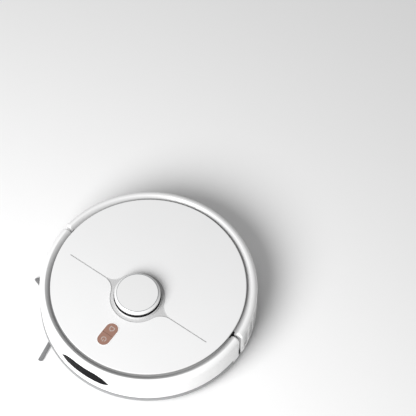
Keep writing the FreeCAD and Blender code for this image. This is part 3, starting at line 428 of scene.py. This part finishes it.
def make_turret_rings():
    """The dark ring that lies in the turret's slot, and the fine line round the cap's top."""
    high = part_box("turret_base")[1]
    cap_low, cap_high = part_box("turret_cap")
    centre = ((cap_low.x + cap_high.x) / 2, (cap_low.y + cap_high.y) / 2)
    outer = (cap_high.x - cap_low.x) / 2 + SLOT_FLOOR_REACH
    middle = (SLOT_FLOOR_RADIUS + outer) / 2
    build = bmesh.new()
    ribbon(build, arc(centre, middle, 0, 360, RING_STEPS)[:-1], outer - SLOT_FLOOR_RADIUS,
           high.z - RING_DEPTH, high.z + SLOT_FLOOR_RISE, closed=True)
    add_piece("slot_floor", closed_mesh("slot_floor", build), "root", "rotor_black")

    build = bmesh.new()
    ribbon(build, arc(centre, CAP_LINE_RADIUS, 0, 360, RING_STEPS)[:-1], CAP_LINE_WIDTH,
           cap_high.z - RING_DEPTH, cap_high.z - CAP_LINE_SINK, closed=True)
    add_piece("cap_line", closed_mesh("cap_line", build), "root", "inner_grey")


def bristle(build, root, tip, root_radius, tip_radius, sides=5):
    """One thin tapered hair."""
    along = (tip - root).normalized()
    turn = along.to_track_quat("Z", "Y")
    rings = []
    for place, radius in ((root, root_radius), (tip, tip_radius)):
        ring = []
        for i in range(sides):
            angle = math.tau * i / sides
            spoke = Vector((radius * math.cos(angle), radius * math.sin(angle), 0))
            ring.append(build.verts.new(place + turn @ spoke))
        rings.append(ring)
    for i in range(sides):
        build.faces.new((rings[0][i], rings[0][(i + 1) % sides], rings[1][(i + 1) % sides], rings[1][i]))
    build.faces.new(rings[0][::-1])
    build.faces.new(rings[1])


HAIR_STRAY = 0.0002
TUFT_ANGLE = 10.55
TUFT_DIP = math.radians(2.2)
TUFT_ROOT = 0.0172
TUFT_REACH = 0.0881
TUFT_LEVEL = 0.0066
TUFT_HAIRS = 110
TUFT_THICKNESS = 0.00065
TUFT_ROOT_SPREAD, TUFT_TIP_SPREAD = 0.0013, 0.0035
TUFT_TRIM, TUFT_ROUNDING, TUFT_RAGGEDNESS = 0.0016, 0.0008, 0.0025
TUFT_HAIR_RADII = (0.00026, 0.00017)


def make_tufts():
    """Three tufts of nylon hairs that fan out towards their ragged tips.

    TUFT_TRIM keeps the tips inside the box of the CAD wedges that the hairs replace.
    """
    low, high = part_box("side_brush_hub")
    # The hub has three lobes, so the middle of its box, and with it the tufts, is 2.4 mm off the axis.
    centre = Vector(((low.x + high.x) / 2, (low.y + high.y) / 2, 0))
    for number in range(3):
        build = bmesh.new()
        heading = math.radians(TUFT_ANGLE + 120 * number)
        out = Vector((math.cos(heading), math.sin(heading), 0))
        side = Vector((-out.y, out.x, 0))
        for _ in range(TUFT_HAIRS):
            across = random.uniform(-1, 1)
            over = random.uniform(-TUFT_THICKNESS, TUFT_THICKNESS)
            short = abs(across) * TUFT_ROUNDING + random.uniform(0, TUFT_RAGGEDNESS)
            reach = TUFT_REACH - TUFT_TRIM - short
            root = out * TUFT_ROOT + side * across * TUFT_ROOT_SPREAD
            tip = out * reach + side * (across * TUFT_TIP_SPREAD + random.uniform(-HAIR_STRAY, HAIR_STRAY))
            root.z = TUFT_LEVEL - math.tan(TUFT_DIP) * TUFT_ROOT + over
            tip.z = TUFT_LEVEL - math.tan(TUFT_DIP) * reach + over
            bristle(build, centre + root, centre + tip, *TUFT_HAIR_RADII)
        tuft = add_piece(f"tuft_{number}", closed_mesh(f"tuft_{number}", build), "side_brush", "tuft_grey")
        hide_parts("side_brush_tufts")


BLADE_TWIST = 22
BLADES = 6
ROW_HAIRS = 95
ROW_CORE = 0.0083
ROW_MARGIN = 0.0015
ROW_TRIM = 0.0012
ROW_LEAN, ROW_LEAN_STRAY = 0.03, 0.02
ROW_TIP_STRAY = 0.0004
ROW_HAIR_RADII = (0.0002, 0.00014)


def make_brush_rows():
    """Rows of hairs between the main brush's rubber blades, on the same chevron."""
    low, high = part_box("main_brush_blades")
    centre = Vector(((low.x + high.x) / 2, 0, (low.z + high.z) / 2))
    half = high.y - ROW_MARGIN
    tip = (high.x - low.x) / 2 - ROW_TRIM
    step = 360 / BLADES
    build = bmesh.new()
    for row in range(BLADES):
        for index in range(ROW_HAIRS):
            y = -half + 2 * half * index / (ROW_HAIRS - 1)
            turn = math.radians(step * (row + 0.5) + BLADE_TWIST * abs(y) / half)
            for lean in (-ROW_LEAN, ROW_LEAN):
                angle = turn + lean + random.uniform(-ROW_LEAN_STRAY, ROW_LEAN_STRAY)
                out = Vector((math.cos(angle), 0, -math.sin(angle)))
                inside = centre + out * ROW_CORE + Vector((0, y, 0))
                stray = random.uniform(-ROW_TIP_STRAY, ROW_TIP_STRAY)
                outside = centre + out * tip + Vector((0, y + stray, 0))
                bristle(build, inside, outside, *ROW_HAIR_RADII, sides=4)
    add_piece("main_brush_hair", closed_mesh("main_brush_hair", build), "main_brush", "tuft_grey")


SPRING_HEADING = 38
SPRING_START = 0.1666
SPRING_LENGTH = 0.0031
SPRING_RADIUS = 0.0026
SPRING_WIRE = 0.0004
SPRING_TURNS, SPRING_STEPS, WIRE_SIDES = 3, 72, 8


def make_bumper_springs():
    """The two coil springs behind the bumper, each wound along its own axis."""
    low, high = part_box("bumper_springs")
    level = (low.z + high.z) / 2
    rise = SPRING_LENGTH - 2 * SPRING_WIRE
    for word, sign in (("left", 1), ("right", -1)):
        heading = math.radians(SPRING_HEADING * sign)
        out = Vector((math.cos(heading), math.sin(heading), 0))
        across = Vector((-out.y, out.x, 0))
        start = out * SPRING_START + Vector((0, 0, level))
        build = bmesh.new()
        rings = []
        for i in range(SPRING_STEPS + 1):
            turn = math.tau * SPRING_TURNS * i / SPRING_STEPS
            spoke = across * math.cos(turn) + Vector((0, 0, math.sin(turn)))
            middle = start + spoke * SPRING_RADIUS + out * (SPRING_WIRE + rise * i / SPRING_STEPS)
            ring = []
            for k in range(WIRE_SIDES):
                angle = math.tau * k / WIRE_SIDES
                ring.append(build.verts.new(middle + spoke * SPRING_WIRE * math.cos(angle)
                                            + out * SPRING_WIRE * math.sin(angle)))
            rings.append(ring)
        for first, second in zip(rings, rings[1:]):
            for k in range(WIRE_SIDES):
                after = (k + 1) % WIRE_SIDES
                build.faces.new((first[k], first[after], second[after], second[k]))
        build.faces.new(rings[0][::-1])
        build.faces.new(rings[-1])
        spring = add_piece(f"{word}_bumper_spring", closed_mesh(f"{word}_bumper_spring", build), "root",
                           "spring_steel")
        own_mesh(spring)
        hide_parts("bumper_springs")


FILTER_WALL = 0.0015
PLEAT, PLEAT_INSET = 0.0021, 0.0016
PAPER, PAPER_INSET = 0.0005, 0.0008


def make_filter():
    """The bin's filter: folded paper in a thin frame."""
    low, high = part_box("bin_filter")
    wall = FILTER_WALL
    span = high.y - low.y - 2 * wall
    count = int(span / PLEAT)
    path = []
    for i in range(count + 1):
        fold = low.x + PLEAT_INSET if i % 2 else high.x - PLEAT_INSET
        path.append((fold, low.y + wall + span * i / count))
    build = bmesh.new()
    ribbon(build, path, PAPER, low.z + PAPER_INSET, high.z - PAPER_INSET)
    paper = add_piece("filter_paper", closed_mesh("filter_paper", build), "dustbin", "filter_paper")
    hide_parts("bin_filter")
    build = bmesh.new()
    edge = [(low.x + wall / 2, low.y + wall / 2), (high.x - wall / 2, low.y + wall / 2),
            (high.x - wall / 2, high.y - wall / 2), (low.x + wall / 2, high.y - wall / 2)]
    for base, top in ((low.z, low.z + wall), (high.z - wall, high.z)):
        ribbon(build, edge, wall, base, top, closed=True)
    for y in (low.y + wall / 2, high.y - wall / 2):
        ribbon(build, [(low.x, y), (high.x, y)], wall, low.z + wall, high.z - wall)
    add_piece("filter_frame", closed_mesh("filter_frame", build), "dustbin", "pulley_nylon")


make_camera()
make_floor()
make_lights()
materials = make_materials()
dress_nodes(materials)
make_key_marks()
make_turret_rings()
make_tufts()
make_brush_rows()
make_bumper_springs()
make_filter()

bpy.context.scene.view_settings.view_transform = "Standard"
